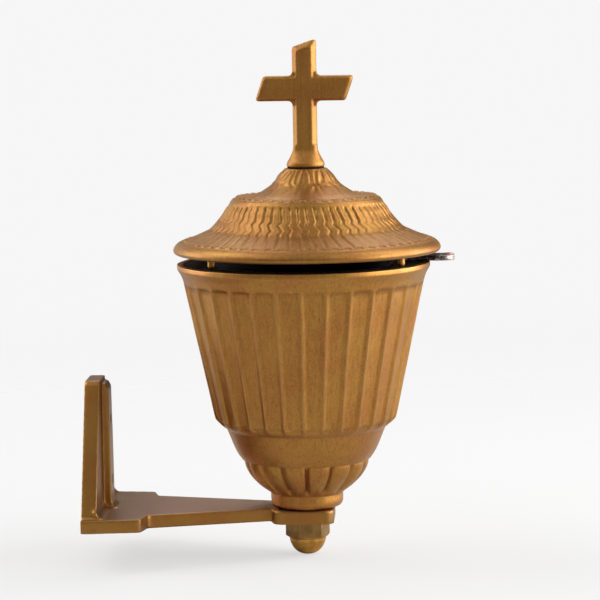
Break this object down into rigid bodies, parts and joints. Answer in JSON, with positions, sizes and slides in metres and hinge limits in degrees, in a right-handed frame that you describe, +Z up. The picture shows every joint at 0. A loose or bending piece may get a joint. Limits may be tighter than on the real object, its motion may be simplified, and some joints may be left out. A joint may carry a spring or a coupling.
{
  "type": "wall-mounted holy-water font",
  "caption": "Fluted bronze holy-water font on an L-shaped wall bracket, with a black liner bowl, a loose sprinkler and a chased lid topped by a cross.",
  "frame": {"origin": "midway between the two screw holes, on the back face of the wall plate", "axes": "+Z up, +X away from the wall towards the cup's axis, +Y to the right of someone who stands at the wall plate and looks out"},
  "size_m": [0.1803, 0.13, 0.2521],
  "materials": {
    "cast_bronze": "satin gold-brown bronze with a fine grain",
    "nut_bronze": "darker olive-brown bronze, satin",
    "black_rubber": "matt black rubber",
    "plated_steel": "zinc-plated steel",
    "black_liner": "black moulded plastic, semi-gloss",
    "dark_pewter": "dark tarnished metal with a hammered mottle",
    "copper": "worn copper",
    "sponge": "open-cell sponge"
  },
  "bodies": {
    "bracket_and_cup": {"wall_bracket": "cast_bronze", "foot_gasket": "black_rubber", "cup": "cast_bronze", "inner_seal": "black_rubber", "inner_washer": "plated_steel", "clamp_bolt": "plated_steel", "cap_nut": "nut_bronze"},
    "liner_bowl": {"liner": "black_liner"},
    "lid_with_cross": {"lid": "cast_bronze", "lid_pin_1": "cast_bronze", "lid_pin_2": "cast_bronze", "lid_pin_3": "cast_bronze", "finial_gasket": "black_rubber", "cross_finial": "cast_bronze", "finial_stud": "plated_steel", "finial_washer": "plated_steel", "finial_nut": "plated_steel"},
    "sprinkler": {"sprinkler_handle": "dark_pewter", "handle_eyelet": "copper", "sprinkler_ferrule": "dark_pewter", "sprinkler_head_upper": "dark_pewter", "sprinkler_head_lower": "dark_pewter", "sprinkler_sponge": "sponge"}
  },
  "joints": [
    {"name": "liner_lift", "type": "slide", "parent": "bracket_and_cup", "child": "liner_bowl", "axis": [0, 0, 1], "range_m": [0, 0.09]},
    {"name": "lid_lift", "type": "slide", "parent": "liner_bowl", "child": "lid_with_cross", "axis": [0, 0, 1], "range_m": [0, 0.11]},
    {"name": "sprinkler_sweep", "type": "hinge", "parent": "liner_bowl", "child": "sprinkler", "pos_m": [0.107, 0, 0], "axis": [0, 0, 1], "range_deg": [-18, 75]}
  ]
}
